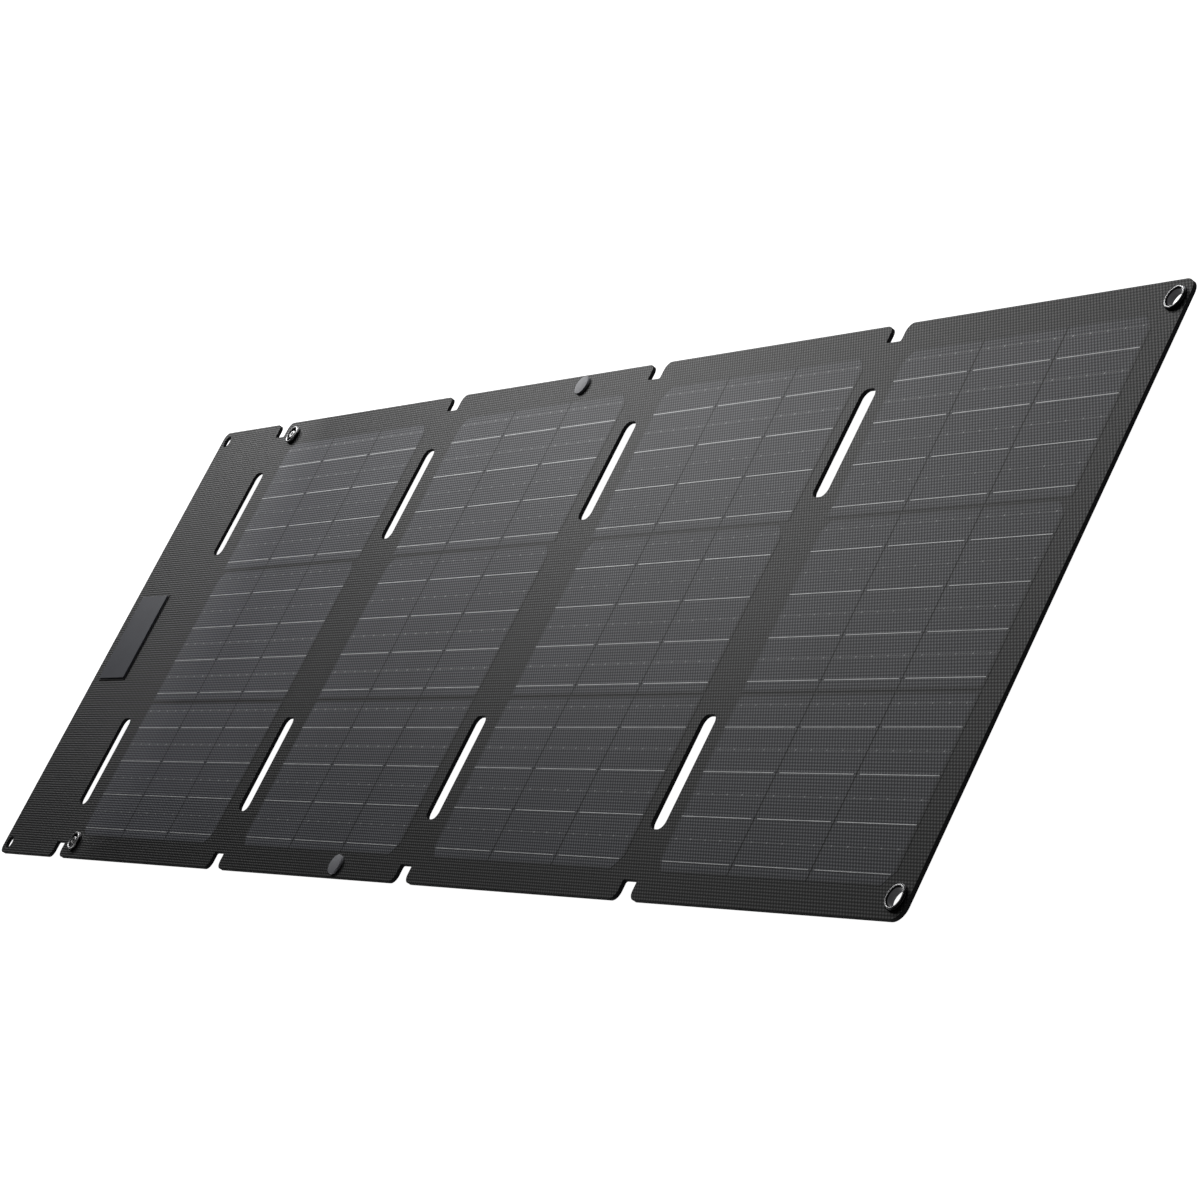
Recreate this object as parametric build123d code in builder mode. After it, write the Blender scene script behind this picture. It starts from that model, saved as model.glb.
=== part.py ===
from build123d import *
import os

os.makedirs("parts", exist_ok=True)

# Folding solar panel, laid out flat with its cells up. X runs along the row of
# leaves, the flap at -X and the last leaf at +X; Y runs along the folds.
# The origin is under the middle of the panel, on the surface that it lies on.

# ---- driving dimensions, mm ----
panel_width = 305.5
case_depth = 7.3
leaf_thickness = 2.2
layer_pitch = 5.0

# each row of cells is half a 182 mm wafer, cut across into thirds
wafer = 182.0
columns = 3
rows = 3
column_gap = 1.0
row_gap = 0.9
wafer_chamfer = 7.5
cell_length = wafer / columns
cell_height = wafer / 2
block_length = wafer + (columns - 1) * column_gap
block_width = rows * cell_height + (rows - 1) * row_gap
# the blocks lie a little nearer to the -Y edge
block_middle = -1.05

# a rigid board reaches this far past its block of cells: before it, after it, at the end
lead_margin = 13.3
tail_margin = 12.3
end_margin = 16.3
flap_board_length = 78.5

skin = 0.3
board = 1.3
film = leaf_thickness - skin - board
cell_thickness = 0.2
ribbon_thickness = 0.15
pocket = cell_thickness + ribbon_thickness
strip_inset = 0.1

ribbon_pitch = 22.75
ribbon_width = 0.8
ribbons_per_row = 4
first_ribbon = 17.06
ribbon_end_gap = 1.8
ribbon_outer_gap = 1.4
ribbon_corner_gap = 3.2

slot_length = 59.3
slot_width = 12.1
slot_corner = 4.5
slot_offset = 87.4
notch_depth = 9.9
notch_lip = 4.8
notch_root = 1.2
leaf_corner = 7.0
flap_corner = 5.0

# press-stud rims on the first leaf, eyelets on the last, closure caps between
stud_edge = 10.35
stud_from_block = -1.95
stud_outer = 6.1
stud_shank = 4.1
stud_height = 2.2
eyelet_edge = 9.85
eyelet_from_end = 8.6
eyelet_outer = 6.2
eyelet_bore = 4.6
eyelet_barrel = 5.2
eyelet_height = 1.5
cap_edge = 7.0
cap_radius = 5.6
cap_height = 1.3
rivet_radius = 1.6
flap_hole_from_end = 8.0
flap_hole_radius = 4.0
washer = 0.6

plate_length = 38.0
plate_width = 59.0
plate_height = 1.2
plate_from_end = 30.6
plate_chamfer = 0.2
bezel_rim = 1.2
bezel_height = 0.4
case_length = 46.0
case_width = 68.0
case_wall = 1.6
case_floor = 1.2
case_corner = 4.0
case_round = 1.2
screw_radius = 1.0
screw_inset = 5.0
screw_clearance = 0.1

# ---- derived places ----
z_back = case_depth
z_board = z_back + skin
z_film = z_board + board
z_front = z_back + leaf_thickness
half_width = panel_width / 2

# a roll fold: each fold outwards spans one more layer than the one inside it
fold_span = {"d": layer_pitch, "c": 2 * layer_pitch, "b": 3 * layer_pitch, "a": 4 * layer_pitch}

leaf_count = 4
leaf_start = {}
leaf_end = {}
block_start = {}
fold_start = {}
fold_end = {}
total_length = flap_board_length + sum(fold_span.values())
total_length += leaf_count * (lead_margin + block_length)
total_length += (leaf_count - 1) * tail_margin + end_margin
panel_start = -total_length / 2
panel_end = total_length / 2

x = panel_start + flap_board_length
flap_end = x
for number, fold in enumerate("abcd", start=1):
    fold_start[fold] = x
    fold_end[fold] = x + fold_span[fold]
    leaf_start[number] = fold_end[fold]
    block_start[number] = leaf_start[number] + lead_margin
    last = number == leaf_count
    leaf_end[number] = block_start[number] + block_length + (end_margin if last else tail_margin)
    x = leaf_end[number]
fold_centre = {fold: (fold_start[fold] + fold_end[fold]) / 2 for fold in "abcd"}

stud_x = block_start[1] + stud_from_block
eyelet_x = panel_end - eyelet_from_end
flap_hole_x = panel_start + flap_hole_from_end
# folded over the stack, the holes of the flap come down on the studs of leaf 2
closure_x = 2 * fold_centre["b"] - (2 * fold_centre["a"] - flap_hole_x)
controller_x = panel_start + plate_from_end

stud_points = [(stud_x, side * (half_width - stud_edge)) for side in (1, -1)]
eyelet_points = [(eyelet_x, side * (half_width - eyelet_edge)) for side in (1, -1)]
cap_points = [(closure_x, side * (half_width - cap_edge)) for side in (1, -1)]
flap_hole_points = [(flap_hole_x, side * (half_width - cap_edge)) for side in (1, -1)]
screw_points = [
    (controller_x + sx * (plate_length / 2 - screw_inset), sy * (plate_width / 2 - screw_inset))
    for sx in (-1, 1)
    for sy in (-1, 1)
]


# ---- the outline that every layer is cut to ----
with BuildSketch() as outline:
    with Locations(((panel_start + panel_end) / 2, 0)):
        Rectangle(total_length, panel_width)
    fillet(outline.vertices().group_by(Axis.X)[0], radius=flap_corner)
    fillet(outline.vertices().group_by(Axis.X)[-1], radius=leaf_corner)
    for fold in "abcd":
        with Locations((fold_centre[fold], half_width), (fold_centre[fold], -half_width)):
            Rectangle(slot_width, 2 * notch_depth, mode=Mode.SUBTRACT)
    notch_walls = [
        v
        for fold in "abcd"
        for v in outline.vertices()
        if abs(abs(v.X - fold_centre[fold]) - slot_width / 2) < 0.01
    ]
    fillet([v for v in notch_walls if abs(v.Y) > half_width - 0.01], radius=notch_lip)
    notch_floors = [
        v
        for v in outline.vertices()
        if abs(abs(v.Y) - (half_width - notch_depth)) < 0.01
    ]
    fillet(notch_floors, radius=notch_root)
    for fold in "abcd":
        with Locations((fold_centre[fold], slot_offset), (fold_centre[fold], -slot_offset)):
            RectangleRounded(slot_width, slot_length, slot_corner, mode=Mode.SUBTRACT)


def save(piece, node):
    piece.part.label = node
    export_step(piece.part, f"parts/{node}.step")


def layer(x_low, x_high, z_low, thickness, hole_sets=()):
    """One layer of the panel between two X places, with sets of round holes through it."""
    with BuildPart() as sheet:
        with BuildSketch(Plane.XY.offset(z_low)):
            add(outline.sketch)
            with Locations(((x_low + x_high) / 2, 0)):
                Rectangle(x_high - x_low, 2 * panel_width, mode=Mode.INTERSECT)
            for points, hole_radius in hole_sets:
                with Locations(*points):
                    Circle(hole_radius, mode=Mode.SUBTRACT)
        extrude(amount=thickness)
    return sheet


# ---- cells: nine sub-cells a leaf, with the wafer's cut corners outermost ----
def cell_sketch(column, row):
    """One sub-cell about its own centre, its wafer corner cut off if it has one."""
    with BuildSketch() as shape:
        Rectangle(cell_length, cell_height)
        side = {0: -1, columns - 1: 1}.get(column)
        end = -1 if row == rows - 1 else 1
        if side is not None:
            corner = [
                v for v in shape.vertices() if v.X * side > 0 and v.Y * end > 0
            ]
            chamfer(corner, length=wafer_chamfer)
    return shape.sketch


def cell_place(number, column, row):
    """The middle of a sub-cell, its row counted from the +Y side."""
    cell_x = block_start[number] + column * (cell_length + column_gap) + cell_length / 2
    first_y = block_middle + block_width / 2 - cell_height / 2
    cell_y = first_y - row * (cell_height + row_gap)
    return cell_x, cell_y


cells_of_block = [(column, row) for column in range(columns) for row in range(rows)]


def cell_faces(number):
    for column, row in cells_of_block:
        with Locations(cell_place(number, column, row)):
            add(cell_sketch(column, row))


# ---- leaves: back skin, stiff board, cells, tinned ribbons and front film ----
leaf_holes = {
    1: [(stud_points, stud_shank)],
    2: [(cap_points, rivet_radius)],
    3: [],
    4: [(eyelet_points, eyelet_barrel)],
}

for number in range(1, leaf_count + 1):
    low, high = leaf_start[number], leaf_end[number]
    holes = leaf_holes[number]
    save(layer(low, high, z_back, skin, holes), f"leaf_{number}_back_skin")
    save(layer(low, high, z_board, board, holes), f"leaf_{number}_board")

    with BuildPart() as cells:
        with BuildSketch(Plane.XY.offset(z_film)):
            cell_faces(number)
        extrude(amount=cell_thickness)
    save(cells, f"leaf_{number}_cells")

    with BuildPart() as ribbons:
        with BuildSketch(Plane.XY.offset(z_film + cell_thickness)):
            for column, row in cells_of_block:
                cell_x, cell_y = cell_place(number, column, row)
                for line in range(ribbons_per_row):
                    line_y = cell_y + cell_height / 2 - first_ribbon - line * ribbon_pitch
                    at_cut_corner = row == rows - 1 and line == ribbons_per_row - 1
                    outer_gap = ribbon_corner_gap if at_cut_corner else ribbon_outer_gap
                    left_gap = outer_gap if column == 0 else ribbon_end_gap
                    right_gap = outer_gap if column == columns - 1 else ribbon_end_gap
                    with Locations((cell_x + (left_gap - right_gap) / 2, line_y)):
                        Rectangle(cell_length - left_gap - right_gap, ribbon_width)
        extrude(amount=ribbon_thickness)
    save(ribbons, f"leaf_{number}_ribbons")

    whole_film = layer(low, high, z_film, film, holes)
    with BuildPart() as front_film:
        add(whole_film.part)
        with BuildSketch(Plane.XY.offset(z_film)):
            cell_faces(number)
        extrude(amount=pocket, mode=Mode.SUBTRACT)
    save(front_film, f"leaf_{number}_front_film")


# ---- flap: back skin, board and front film, with holes for the case's screws ----
flap_layers = {
    "back_skin": (z_back, skin),
    "board": (z_board, board),
    "front_film": (z_film, film),
}
flap_holes = [(flap_hole_points, flap_hole_radius), (screw_points, screw_radius + screw_clearance)]
for node, (z_low, thickness) in flap_layers.items():
    save(layer(panel_start, flap_end, z_low, thickness, flap_holes), f"flap_{node}")

# ---- folds: two layers of fabric, with flat leads in grooves between them ----
strip_low = z_back + strip_inset
strip_split = z_back + leaf_thickness / 2
strip_high = z_front - strip_inset
lead_width = 4.0
lead_offset = 14.0
lead_places = (lead_offset, -lead_offset)

for fold in "abcd":
    low, high = fold_start[fold], fold_end[fold]
    middle = (low + high) / 2
    save(layer(low, high, strip_low, strip_split - strip_low), f"fold_{fold}_back")

    with BuildPart() as leads:
        with BuildSketch(Plane.XY.offset(strip_split)):
            with Locations(*[(middle, y) for y in lead_places]):
                Rectangle(high - low, lead_width)
        extrude(amount=cell_thickness)
    save(leads, f"fold_{fold}_leads")

    whole_front = layer(low, high, strip_split, strip_high - strip_split)
    with BuildPart() as front:
        add(whole_front.part)
        with BuildSketch(Plane.XY.offset(strip_split)):
            with Locations(*[(middle, y) for y in lead_places]):
                Rectangle(high - low, lead_width)
        extrude(amount=cell_thickness, mode=Mode.SUBTRACT)
    save(front, f"fold_{fold}_front")

# ---- press studs of leaf 1: a rolled rim, a hollow post in it, a washer behind ----
rim_wall = 1.5
rim_round = 0.6
post_outer = 2.6
post_bore = 1.1
post_height = 1.9
post_round = 0.5
post_bore_depth = post_height + leaf_thickness / 2
dish = 0.5
washer_outer = 6.0
washer_round = 0.3

with BuildPart() as stud_rims:
    with BuildSketch(Plane.XY.offset(z_front)):
        with Locations(*stud_points):
            Circle(stud_outer)
            Circle(stud_outer - rim_wall, mode=Mode.SUBTRACT)
    extrude(amount=stud_height)
    rim_tops = stud_rims.edges().filter_by(GeomType.CIRCLE).group_by(Axis.Z)[-1]
    fillet(rim_tops, radius=rim_round)
save(stud_rims, "leaf_1_stud_rims")

with BuildPart() as stud_posts:
    with BuildSketch(Plane.XY.offset(z_back)):
        with Locations(*stud_points):
            Circle(stud_shank)
    extrude(amount=leaf_thickness + dish)
    with BuildSketch(Plane.XY.offset(z_front + dish)):
        with Locations(*stud_points):
            Circle(post_outer)
    extrude(amount=post_height - dish)
    post_tops = stud_posts.edges().filter_by(GeomType.CIRCLE).group_by(Axis.Z)[-1]
    fillet(post_tops, radius=post_round)
    with BuildSketch(Plane.XY.offset(z_front + post_height)):
        with Locations(*stud_points):
            Circle(post_bore)
    extrude(amount=-post_bore_depth, mode=Mode.SUBTRACT)
save(stud_posts, "leaf_1_stud_posts")

with BuildPart() as stud_washers:
    with BuildSketch(Plane.XY.offset(z_back - washer)):
        with Locations(*stud_points):
            Circle(washer_outer)
    extrude(amount=washer)
    washer_edges = stud_washers.edges().filter_by(GeomType.CIRCLE).group_by(Axis.Z)[0]
    fillet(washer_edges, radius=washer_round)
save(stud_washers, "leaf_1_stud_washers")

# ---- eyelets of leaf 4: a barrel rolled over the front, set in a washer behind ----
roll_round = 0.7
mouth_round = 0.5
eyelet_washer_outer = 6.6

with BuildPart() as eyelets:
    with BuildSketch(Plane.XY.offset(z_front)):
        with Locations(*eyelet_points):
            Circle(eyelet_outer)
    extrude(amount=eyelet_height)
    eyelet_tops = eyelets.edges().filter_by(GeomType.CIRCLE).group_by(Axis.Z)[-1]
    fillet(eyelet_tops, radius=roll_round)
    with BuildSketch(Plane.XY.offset(z_back - washer)):
        with Locations(*eyelet_points):
            Circle(eyelet_barrel)
    extrude(amount=leaf_thickness + washer)
    with BuildSketch(Plane.XY.offset(z_back - washer)):
        with Locations(*eyelet_points):
            Circle(eyelet_bore)
    extrude(amount=washer + leaf_thickness + eyelet_height, mode=Mode.SUBTRACT)
    mouth = [
        e
        for e in eyelets.edges().filter_by(GeomType.CIRCLE).group_by(Axis.Z)[-1]
        if abs(e.radius - eyelet_bore) < 0.01
    ]
    fillet(mouth, radius=mouth_round)
save(eyelets, "leaf_4_eyelets")

with BuildPart() as eyelet_washers:
    with BuildSketch(Plane.XY.offset(z_back - washer)):
        with Locations(*eyelet_points):
            Circle(eyelet_washer_outer)
            Circle(eyelet_barrel, mode=Mode.SUBTRACT)
    extrude(amount=washer)
save(eyelet_washers, "leaf_4_eyelet_washers")

# ---- closures of leaf 2: a flat cap in front, the stud for the flap's hole behind ----
cap_round = 0.25
stud_neck = 2.4
stud_head = 3.2
stud_reach = 4.6
head_height = 1.6
head_round = 0.5

with BuildPart() as closure_caps:
    with BuildSketch(Plane.XY.offset(z_front)):
        with Locations(*cap_points):
            Circle(cap_radius)
    extrude(amount=cap_height)
    cap_tops = closure_caps.edges().filter_by(GeomType.CIRCLE).group_by(Axis.Z)[-1]
    fillet(cap_tops, radius=cap_round)
    with BuildSketch(Plane.XY.offset(z_back)):
        with Locations(*cap_points):
            Circle(rivet_radius)
    extrude(amount=leaf_thickness)
save(closure_caps, "leaf_2_closure_caps")

with BuildPart() as closure_studs:
    with BuildSketch(Plane.XY.offset(z_back)):
        with Locations(*cap_points):
            Circle(cap_radius)
    extrude(amount=-washer)
    with BuildSketch(Plane.XY.offset(z_back - washer)):
        with Locations(*cap_points):
            Circle(stud_neck)
    extrude(amount=-(stud_reach - washer))
    with BuildSketch(Plane.XY.offset(z_back - stud_reach)):
        with Locations(*cap_points):
            Circle(stud_head)
    extrude(amount=head_height)
    head_edges = [
        e
        for e in closure_studs.edges().filter_by(GeomType.CIRCLE)
        if abs(e.radius - stud_head) < 0.01
    ]
    fillet(head_edges, radius=head_round)
save(closure_studs, "leaf_2_closure_studs")

# ---- controller: a plate on the front of the flap, its case behind ----
with BuildPart() as bezel:
    with BuildSketch(Plane.XY.offset(z_front)):
        with Locations((controller_x, 0)):
            Rectangle(plate_length + 2 * bezel_rim, plate_width + 2 * bezel_rim)
        with Locations(*screw_points):
            Circle(screw_radius + screw_clearance, mode=Mode.SUBTRACT)
    extrude(amount=bezel_height)
save(bezel, "controller_bezel")

screw_bite = 0.5
with BuildPart() as plate:
    with BuildSketch(Plane.XY.offset(z_front + bezel_height)):
        with Locations((controller_x, 0)):
            Rectangle(plate_length, plate_width)
    extrude(amount=plate_height - bezel_height)
    chamfer(plate.edges().group_by(Axis.Z)[-1], length=plate_chamfer)
    with BuildSketch(Plane.XY.offset(z_front + bezel_height)):
        with Locations(*screw_points):
            Circle(screw_radius)
    extrude(amount=screw_bite, mode=Mode.SUBTRACT)
save(plate, "controller_plate")

# ---- the case stands open towards the flap, with screw bosses and a socket port ----
usb_length = 7.3
usb_width = 8.94
usb_height = 3.26
usb_corner = 1.6
usb_wall = 0.3
port_margin = 0.25
boss_radius = 2.6
head_radius = 1.9
head_depth = 1.0
recess_length = 2.2
recess_width = 0.5
recess_depth = 0.6
pcb_thickness = 1.0
pcb_top = 3.4
solder_gap = 0.02
case_start = controller_x - case_length / 2
usb_z = pcb_top + usb_height / 2 + solder_gap

with BuildPart() as case:
    with BuildSketch():
        with Locations((controller_x, 0)):
            RectangleRounded(case_length, case_width, case_corner)
    extrude(amount=case_depth)
    fillet(case.edges().group_by(Axis.Z)[0], radius=case_round)
    with BuildSketch(Plane.XY.offset(case_floor)):
        with Locations((controller_x, 0)):
            RectangleRounded(
                case_length - 2 * case_wall, case_width - 2 * case_wall, case_corner - case_wall
            )
    extrude(amount=case_depth - case_floor, mode=Mode.SUBTRACT)
    with BuildSketch(Plane.XY.offset(case_floor)):
        with Locations(*screw_points):
            Circle(boss_radius)
    extrude(amount=case_depth - case_floor)
    with BuildSketch():
        with Locations(*screw_points):
            Circle(head_radius + screw_clearance)
    extrude(amount=head_depth + screw_clearance, mode=Mode.SUBTRACT)
    with BuildSketch():
        with Locations(*screw_points):
            Circle(screw_radius + screw_clearance)
    extrude(amount=case_depth, mode=Mode.SUBTRACT)
    with BuildSketch(Plane.YZ.offset(case_start)):
        with Locations((0, usb_z)):
            RectangleRounded(
                usb_width + 2 * port_margin, usb_height + 2 * port_margin, usb_corner + port_margin
            )
    extrude(amount=case_wall, mode=Mode.SUBTRACT)
save(case, "controller_case")

with BuildPart() as screws:
    with BuildSketch(Plane.XY.offset(screw_clearance)):
        with Locations(*screw_points):
            Circle(head_radius)
    extrude(amount=head_depth)
    with BuildSketch(Plane.XY.offset(screw_clearance + head_depth)):
        with Locations(*screw_points):
            Circle(screw_radius)
    shank_top = z_front + bezel_height + screw_bite
    extrude(amount=shank_top - screw_clearance - head_depth)
    with BuildSketch(Plane.XY.offset(screw_clearance)):
        with Locations(*screw_points):
            Rectangle(recess_length, recess_width)
            Rectangle(recess_width, recess_length)
    extrude(amount=recess_depth, mode=Mode.SUBTRACT)
save(screws, "controller_screws")

# ---- circuit board on four short feet, notched round the bosses ----
pcb_play = 0.4
pcb_corner = case_corner - case_wall
pcb_length = case_length - 2 * (case_wall + pcb_play)
pcb_width = case_width - 2 * (case_wall + pcb_play)
foot_radius = 1.8
foot_spacing = 24.0
feet = [
    (controller_x + sx * foot_spacing / 2, sy * foot_spacing / 2)
    for sx in (-1, 1)
    for sy in (-1, 1)
]
inductor_side = 9.0
inductor_corner = 1.5
inductor_height = 3.4
inductor_round = 0.4
inductor_place = (controller_x + 8.0, -14.0)
chip_height = 1.0
charge_chip_side = 6.0
charge_chip_place = (controller_x + 2.0, 4.0)
switch_length, switch_width = 4.0, 5.0
switch_places = ((controller_x + 8.0, 15.0), (controller_x - 6.0, 16.0))

with BuildPart() as pcb:
    with BuildSketch(Plane.XY.offset(pcb_top - pcb_thickness)):
        with Locations((controller_x, 0)):
            RectangleRounded(pcb_length, pcb_width, pcb_corner)
        with Locations(*screw_points):
            Circle(boss_radius + pcb_play, mode=Mode.SUBTRACT)
    extrude(amount=pcb_thickness)
save(pcb, "controller_board")

with BuildPart() as spacers:
    with BuildSketch(Plane.XY.offset(case_floor)):
        with Locations(*feet):
            Circle(foot_radius)
    extrude(amount=pcb_top - pcb_thickness - case_floor)
save(spacers, "controller_spacers")

with BuildPart() as inductor:
    with BuildSketch(Plane.XY.offset(pcb_top)):
        with Locations(inductor_place):
            RectangleRounded(inductor_side, inductor_side, inductor_corner)
    extrude(amount=inductor_height)
    fillet(inductor.edges().group_by(Axis.Z)[-1], radius=inductor_round)
save(inductor, "controller_inductor")

with BuildPart() as chips:
    with BuildSketch(Plane.XY.offset(pcb_top)):
        with Locations(charge_chip_place):
            Rectangle(charge_chip_side, charge_chip_side)
        with Locations(*switch_places):
            Rectangle(switch_length, switch_width)
    extrude(amount=chip_height)
save(chips, "controller_chips")

# ---- the USB-C socket: a seamless shell, closed behind, with a contact tongue ----
tongue_width = 6.7
tongue_thickness = 0.7
tongue_reach = 5.0
shell_back = 1.0
socket_mouth = case_start + 0.3
tongue_root = socket_mouth + usb_length - shell_back

with BuildPart() as socket:
    with BuildSketch(Plane.YZ.offset(socket_mouth)):
        with Locations((0, usb_z)):
            RectangleRounded(usb_width, usb_height, usb_corner)
    extrude(amount=usb_length)
    with BuildSketch(Plane.YZ.offset(socket_mouth)):
        with Locations((0, usb_z)):
            RectangleRounded(
                usb_width - 2 * usb_wall, usb_height - 2 * usb_wall, usb_corner - usb_wall
            )
    extrude(amount=usb_length - shell_back, mode=Mode.SUBTRACT)
    with BuildSketch(Plane.YZ.offset(tongue_root)):
        with Locations((0, usb_z)):
            Rectangle(tongue_width, tongue_thickness)
    extrude(amount=-tongue_reach)
save(socket, "controller_usb_socket")
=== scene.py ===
from math import cos, pi, radians, sin, tan

import bmesh
import bpy
from mathutils import Matrix, Vector


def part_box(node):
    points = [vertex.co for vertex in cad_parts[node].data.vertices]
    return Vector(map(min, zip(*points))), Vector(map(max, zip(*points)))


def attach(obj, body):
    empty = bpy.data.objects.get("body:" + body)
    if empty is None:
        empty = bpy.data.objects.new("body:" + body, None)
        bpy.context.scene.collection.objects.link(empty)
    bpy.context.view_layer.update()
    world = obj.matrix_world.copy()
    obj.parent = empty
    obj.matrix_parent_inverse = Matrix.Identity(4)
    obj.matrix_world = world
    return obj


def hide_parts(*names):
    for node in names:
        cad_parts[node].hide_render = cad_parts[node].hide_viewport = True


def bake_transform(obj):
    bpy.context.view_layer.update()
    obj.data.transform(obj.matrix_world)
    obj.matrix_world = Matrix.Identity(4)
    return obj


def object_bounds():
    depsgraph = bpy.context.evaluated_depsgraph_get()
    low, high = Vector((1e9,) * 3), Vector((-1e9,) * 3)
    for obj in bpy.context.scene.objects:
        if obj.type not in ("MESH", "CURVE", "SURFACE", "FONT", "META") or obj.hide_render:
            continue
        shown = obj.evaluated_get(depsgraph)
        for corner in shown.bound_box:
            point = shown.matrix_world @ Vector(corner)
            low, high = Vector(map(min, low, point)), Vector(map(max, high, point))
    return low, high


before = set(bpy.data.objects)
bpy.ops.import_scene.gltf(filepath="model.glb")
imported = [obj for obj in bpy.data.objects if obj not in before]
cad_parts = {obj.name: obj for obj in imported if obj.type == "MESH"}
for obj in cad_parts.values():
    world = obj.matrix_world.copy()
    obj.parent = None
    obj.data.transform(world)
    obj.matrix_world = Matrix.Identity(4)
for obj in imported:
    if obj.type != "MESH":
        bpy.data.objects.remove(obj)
cad_low, cad_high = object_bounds()

# ======================================================================
# The cut outline. The whole panel is one long laminate, die-cut in a
# single stroke: a notch at both ends of every fold, two long slots in each
# fold, and round holes for the eyelets, the studs and the flap's closures.
# ======================================================================
mm = 0.001
notch_width, notch_depth = 12.1 * mm, 9.9 * mm
notch_lip, notch_root = 4.8 * mm, 1.2 * mm
slot_width, slot_length, slot_corner = 12.1 * mm, 59.3 * mm, 4.5 * mm
slot_offset = 87.4 * mm
leaf_corner, flap_corner = 7.0 * mm, 5.0 * mm
flap_hole_from_edge = 7.0 * mm
flap_hole_from_end, flap_hole_radius = 8.0 * mm, 4.0 * mm
barrel_radius, shank_radius = 5.2 * mm, 4.1 * mm

fold_names = "abcd"
fold_low = {f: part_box(f"fold_{f}_front")[0].x for f in fold_names}
fold_high = {f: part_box(f"fold_{f}_front")[1].x for f in fold_names}
fold_middle = {f: (fold_low[f] + fold_high[f]) / 2 for f in fold_names}
panel_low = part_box("flap_front_film")[0].x
panel_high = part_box("leaf_4_front_film")[1].x
half_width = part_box("leaf_1_front_film")[1].y
z_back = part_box("leaf_1_back_skin")[0].z
z_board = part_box("leaf_1_board")[0].z
z_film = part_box("leaf_1_front_film")[0].z
z_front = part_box("leaf_1_front_film")[1].z


def middle_x(node):
    low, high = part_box(node)
    return (low.x + high.x) / 2


def pair_place(node):
    """Where the +Y one of a pair of round fittings stands; the other mirrors it."""
    low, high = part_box(node)
    return middle_x(node), high.y - (high.x - low.x) / 2


def round_corners(corners, closed=True, steps=8):
    """A path through (x, y, radius) corners, each one turned on its own radius."""
    path = []
    last = len(corners) - 1
    for i, (x, y, radius) in enumerate(corners):
        here = Vector((x, y))
        if radius <= 0 or (not closed and i in (0, last)):
            path.append(here)
            continue
        before = (Vector(corners[i - 1][:2]) - here).normalized()
        after = (Vector(corners[(i + 1) % (last + 1)][:2]) - here).normalized()
        half = before.angle(after) / 2
        centre = here + (before + after).normalized() * radius / sin(half)
        start = (here + before * radius / tan(half) - centre).normalized()
        end = (here + after * radius / tan(half) - centre).normalized()
        path += [centre + radius * start.slerp(end, k / steps) for k in range(steps + 1)]
    return path


def notch_corners(fold, side, inset):
    """The four corners of one notch, met in the direction that side runs round the panel."""
    wide, deep = notch_width / 2 + inset, notch_depth + inset
    lip, root = notch_lip - inset, notch_root + inset
    edge = half_width - inset
    return [
        (fold_middle[fold] + side * across * wide, side * level, radius)
        for across, level, radius in (
            (1, edge, lip),
            (1, half_width - deep, root),
            (-1, half_width - deep, root),
            (-1, edge, lip),
        )
    ]


def circle(x, y, radius, steps=40):
    return [
        Vector((x + radius * cos(2 * pi * k / steps), y + radius * sin(2 * pi * k / steps)))
        for k in range(steps)
    ]


def panel_rings(inset):
    """The panel's outline, then its slots and holes, all drawn back from the cut by inset."""
    low, high, edge = panel_low + inset, panel_high - inset, half_width - inset
    corners = [(low, -edge, flap_corner - inset)]
    for fold in fold_names:
        corners += notch_corners(fold, -1, inset)
    corners += [(high, -edge, leaf_corner - inset), (high, edge, leaf_corner - inset)]
    for fold in reversed(fold_names):
        corners += notch_corners(fold, 1, inset)
    corners.append((low, edge, flap_corner - inset))
    rings = [round_corners(corners)]
    wide, long = slot_width / 2 + inset, slot_length / 2 + inset
    for side in (-1, 1):
        for fold in fold_names:
            x, y = fold_middle[fold], side * slot_offset
            around = ((-1, -1), (1, -1), (1, 1), (-1, 1))
            slot = [(x + a * wide, y + b * long, slot_corner + inset) for a, b in around]
            rings.append(round_corners(slot))
        holes = (
            (panel_low + flap_hole_from_end, half_width - flap_hole_from_edge, flap_hole_radius),
            (*pair_place("leaf_1_stud_rims"), shank_radius),
            (*pair_place("leaf_4_eyelets"), barrel_radius),
        )
        rings += [circle(x, side * y, radius + inset) for x, y, radius in holes]
    return rings


def laminate_layer(levels):
    """One closed layer of the laminate; levels are (inset, z) up its cut edge."""
    layer = bmesh.new()
    rows = [
        [[layer.verts.new((p.x, p.y, z)) for p in ring] for ring in panel_rings(inset)]
        for inset, z in levels
    ]
    for lower, upper in zip(rows, rows[1:]):
        for a, b in zip(lower, upper):
            for i in range(len(a)):
                layer.faces.new((a[i - 1], a[i], b[i], b[i - 1]))
    for row in (rows[0], rows[-1]):
        edges = [layer.edges.get((ring[i - 1], ring[i])) for ring in row for i in range(len(ring))]
        bmesh.ops.triangle_fill(layer, use_beauty=True, edges=edges)
    bmesh.ops.recalc_face_normals(layer, faces=layer.faces)
    return layer


def piece_from(mesh_work, name, material, smooth_below=15):
    """Turns finished mesh work into a named object, with its flat place kept for its material."""
    mesh = bpy.data.meshes.new(name)
    mesh_work.to_mesh(mesh)
    mesh_work.free()
    mesh.shade_smooth()
    mesh.set_sharp_from_angle(angle=radians(smooth_below))
    place = mesh.attributes.new("flat_place", "FLOAT_VECTOR", "POINT")
    place.data.foreach_set("vector", [c for v in mesh.vertices for c in v.co])
    piece = bpy.data.objects.new(name, mesh)
    bpy.context.scene.collection.objects.link(piece)
    mesh.materials.append(material)
    return piece


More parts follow.
